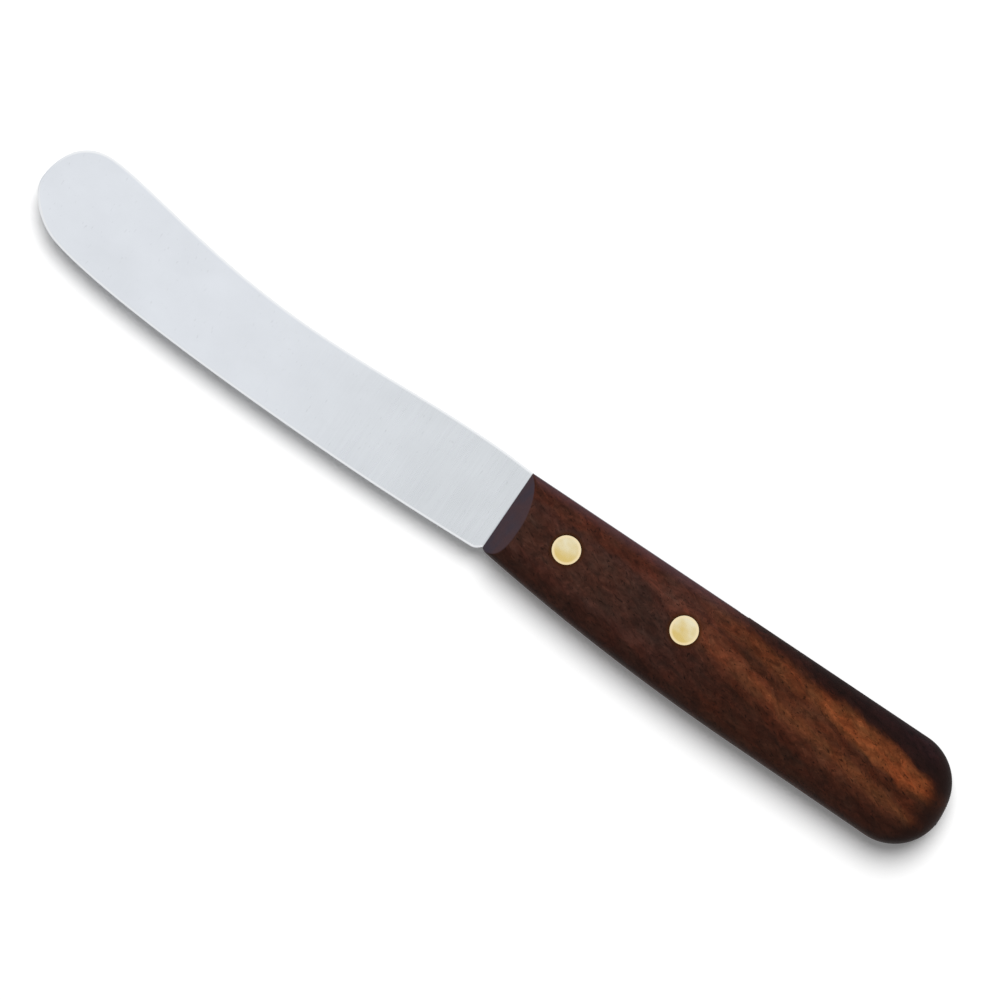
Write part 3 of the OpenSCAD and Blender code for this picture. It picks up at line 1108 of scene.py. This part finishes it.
# %% Shine and relief of the wood
gloss = node(
    tree,
    "ShaderNodeMapRange",
    {"Value": fibres, "From Min": 0.3, "From Max": 0.7, "To Min": 0.48, "To Max": 0.6},
)
relief = node(
    tree,
    "ShaderNodeMath",
    {"Value": pores, "Value_001": -1.5, "Value_002": fibres},
    operation="MULTIPLY_ADD",
)
relief = node(
    tree, "ShaderNodeBump", {"Height": relief.outputs[0], "Strength": 0.3, "Distance": 0.05 * MM}
)
shader = node(
    tree,
    "ShaderNodeBsdfPrincipled",
    {
        "Base Color": colour,
        "Roughness": gloss.outputs[0],
        "IOR": 1.45,
        "Specular IOR Level": 0.08,
        "Normal": relief.outputs[0],
    },
)
node(tree, "ShaderNodeOutputMaterial", {"Surface": shader.outputs[0]})
print(wood.name, "has", len(tree.nodes), "nodes")

# %% [markdown]
# ## Hand the pieces over
# Each skin takes the place of its solid, gets its finish and rides on the knife's only body.

# %% Dress the pieces
dressed = [(blade, "blade", steel, "blade_steel"), (handle, "handle", wood, "handle_wood")]
dressed += [(half, name, brass, "rivet_brass") for name, half in rivets.items()]
for piece, name, material, slot in dressed:
    piece.data.materials.clear()
    piece.data.materials.append(material)
    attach(piece, "root")
    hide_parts(name)
print("dressed:", ", ".join(piece.name for piece, *_ in dressed))

# %% [markdown]
# ## Floor, light and camera
# The knife lies on a wide sheet of matt white paper, which shows the eye nothing but its shadow. The paper
# also glows faintly for the camera alone. That keeps its far corners white without more light on the knife.

# %% White paper
floor_mesh = bpy.data.meshes.new("sweep")
reach = 3
corners = [(-reach, -reach, 0), (reach, -reach, 0), (reach, reach, 0), (-reach, reach, 0)]
floor_mesh.from_pydata(corners, [], [(0, 1, 2, 3)])
floor = bpy.data.objects.new("sweep", floor_mesh)
bpy.context.scene.collection.objects.link(floor)
floor.location.z = cad_low.z
paper = bpy.data.materials.new("matt_white_paper")
paper.use_nodes = True
tree = paper.node_tree
tree.nodes.clear()
seen = node(tree, "ShaderNodeLightPath")
matt = node(tree, "ShaderNodeBsdfDiffuse", {"Color": linear("#FBFBFB")})
paper_glow = 0.1
glow = node(
    tree,
    "ShaderNodeMath",
    {"Value": seen.outputs["Is Camera Ray"], "Value_001": paper_glow},
    operation="MULTIPLY",
)
glow = node(tree, "ShaderNodeEmission", {"Strength": glow.outputs[0]})
both = node(tree, "ShaderNodeAddShader", {"Shader": matt.outputs[0], "Shader_001": glow.outputs[0]})
node(tree, "ShaderNodeOutputMaterial", {"Surface": both.outputs[0]})
floor_mesh.materials.append(paper)
print(paper.name, 2 * reach, "m wide")

# %% [markdown]
# The surrounding white is the world. To the camera it is full white. As a fill light it is weak, so that
# colours come out about as they are written. In reflections it is a tent, white overhead and greyer towards
# the floor, so rounded wood darkens at its rims. One large lamp stands beyond the back of the knife and a
# little towards its tip, so the shadow falls on the side of the edge.

# %% White surroundings
world = bpy.data.worlds.new("white_studio")
bpy.context.scene.world = world
world.use_nodes = True
tree = world.node_tree
tree.nodes.clear()
seen = node(tree, "ShaderNodeLightPath")
direction = node(tree, "ShaderNodeTexCoord").outputs["Generated"]
upward = node(tree, "ShaderNodeSeparateXYZ", {"Vector": direction}).outputs["Z"]
tent = node(
    tree,
    "ShaderNodeMapRange",
    {"Value": upward, "From Min": -0.1, "From Max": 0.45, "To Min": 0.5, "To Max": 1},
    interpolation_type="SMOOTHSTEP",
).outputs[0]
fill_level = 0.18
level = fill_level
for kind, strength in (("Is Glossy Ray", tent), ("Is Transmission Ray", 1), ("Is Camera Ray", 1)):
    level = node(
        tree,
        "ShaderNodeMix",
        {"Factor_Float": seen.outputs[kind], "A_Float": level, "B_Float": strength},
    ).outputs[0]
white = node(tree, "ShaderNodeBackground", {"Color": (1, 1, 1, 1), "Strength": level})
node(tree, "ShaderNodeOutputWorld", {"Surface": white.outputs[0]})
# Only a ray that reaches the world by itself carries its kind, so the world isn't sampled as a lamp
world.cycles.sampling_method = "NONE"
print(f"world as fill light {fill_level}, overhead in reflections 1")

# %% Soft lamp
lamp_turn = math.radians(22.3)
beyond_back = Vector((-math.sin(lamp_turn), math.cos(lamp_turn), 0))
lamp_lean = math.radians(27)
lamp_distance = 3
lamp_data = bpy.data.lights.new("softbox", "AREA")
lamp_data.shape = "DISK"
lamp_data.size = 2.2
lamp_data.energy = 97.5
lamp = bpy.data.objects.new("softbox", lamp_data)
bpy.context.scene.collection.objects.link(lamp)
lamp.location = (beyond_back * math.sin(lamp_lean) + Vector((0, 0, math.cos(lamp_lean)))) * lamp_distance
lamp.rotation_euler = (-lamp.location).to_track_quat("-Z", "Y").to_euler()
lamp.visible_glossy = False
print(f"softbox {lamp_data.size} m wide, {lamp_distance} m away")

# %% [markdown]
# The camera looks straight down through a long lens, and the knife lies slantwise in the picture.

# %% Camera straight above
picture_turn = math.radians(34.3)
picture_middle = (1.736 * MM, 0.722 * MM)
picture_width = 0.2044
camera_height = 1.2
camera_data = bpy.data.cameras.new("camera")
camera_data.sensor_width = 36
camera_data.lens = camera_data.sensor_width * camera_height / picture_width
camera = bpy.data.objects.new("camera", camera_data)
bpy.context.scene.collection.objects.link(camera)
camera.location = (*picture_middle, origin.z + camera_height)
camera.rotation_euler = (0, 0, picture_turn)
bpy.context.scene.camera = camera
bpy.context.scene.view_settings.view_transform = "Standard"
print(f"lens {camera_data.lens:.0f} mm, {1000 * picture_width:.1f} mm across the picture")
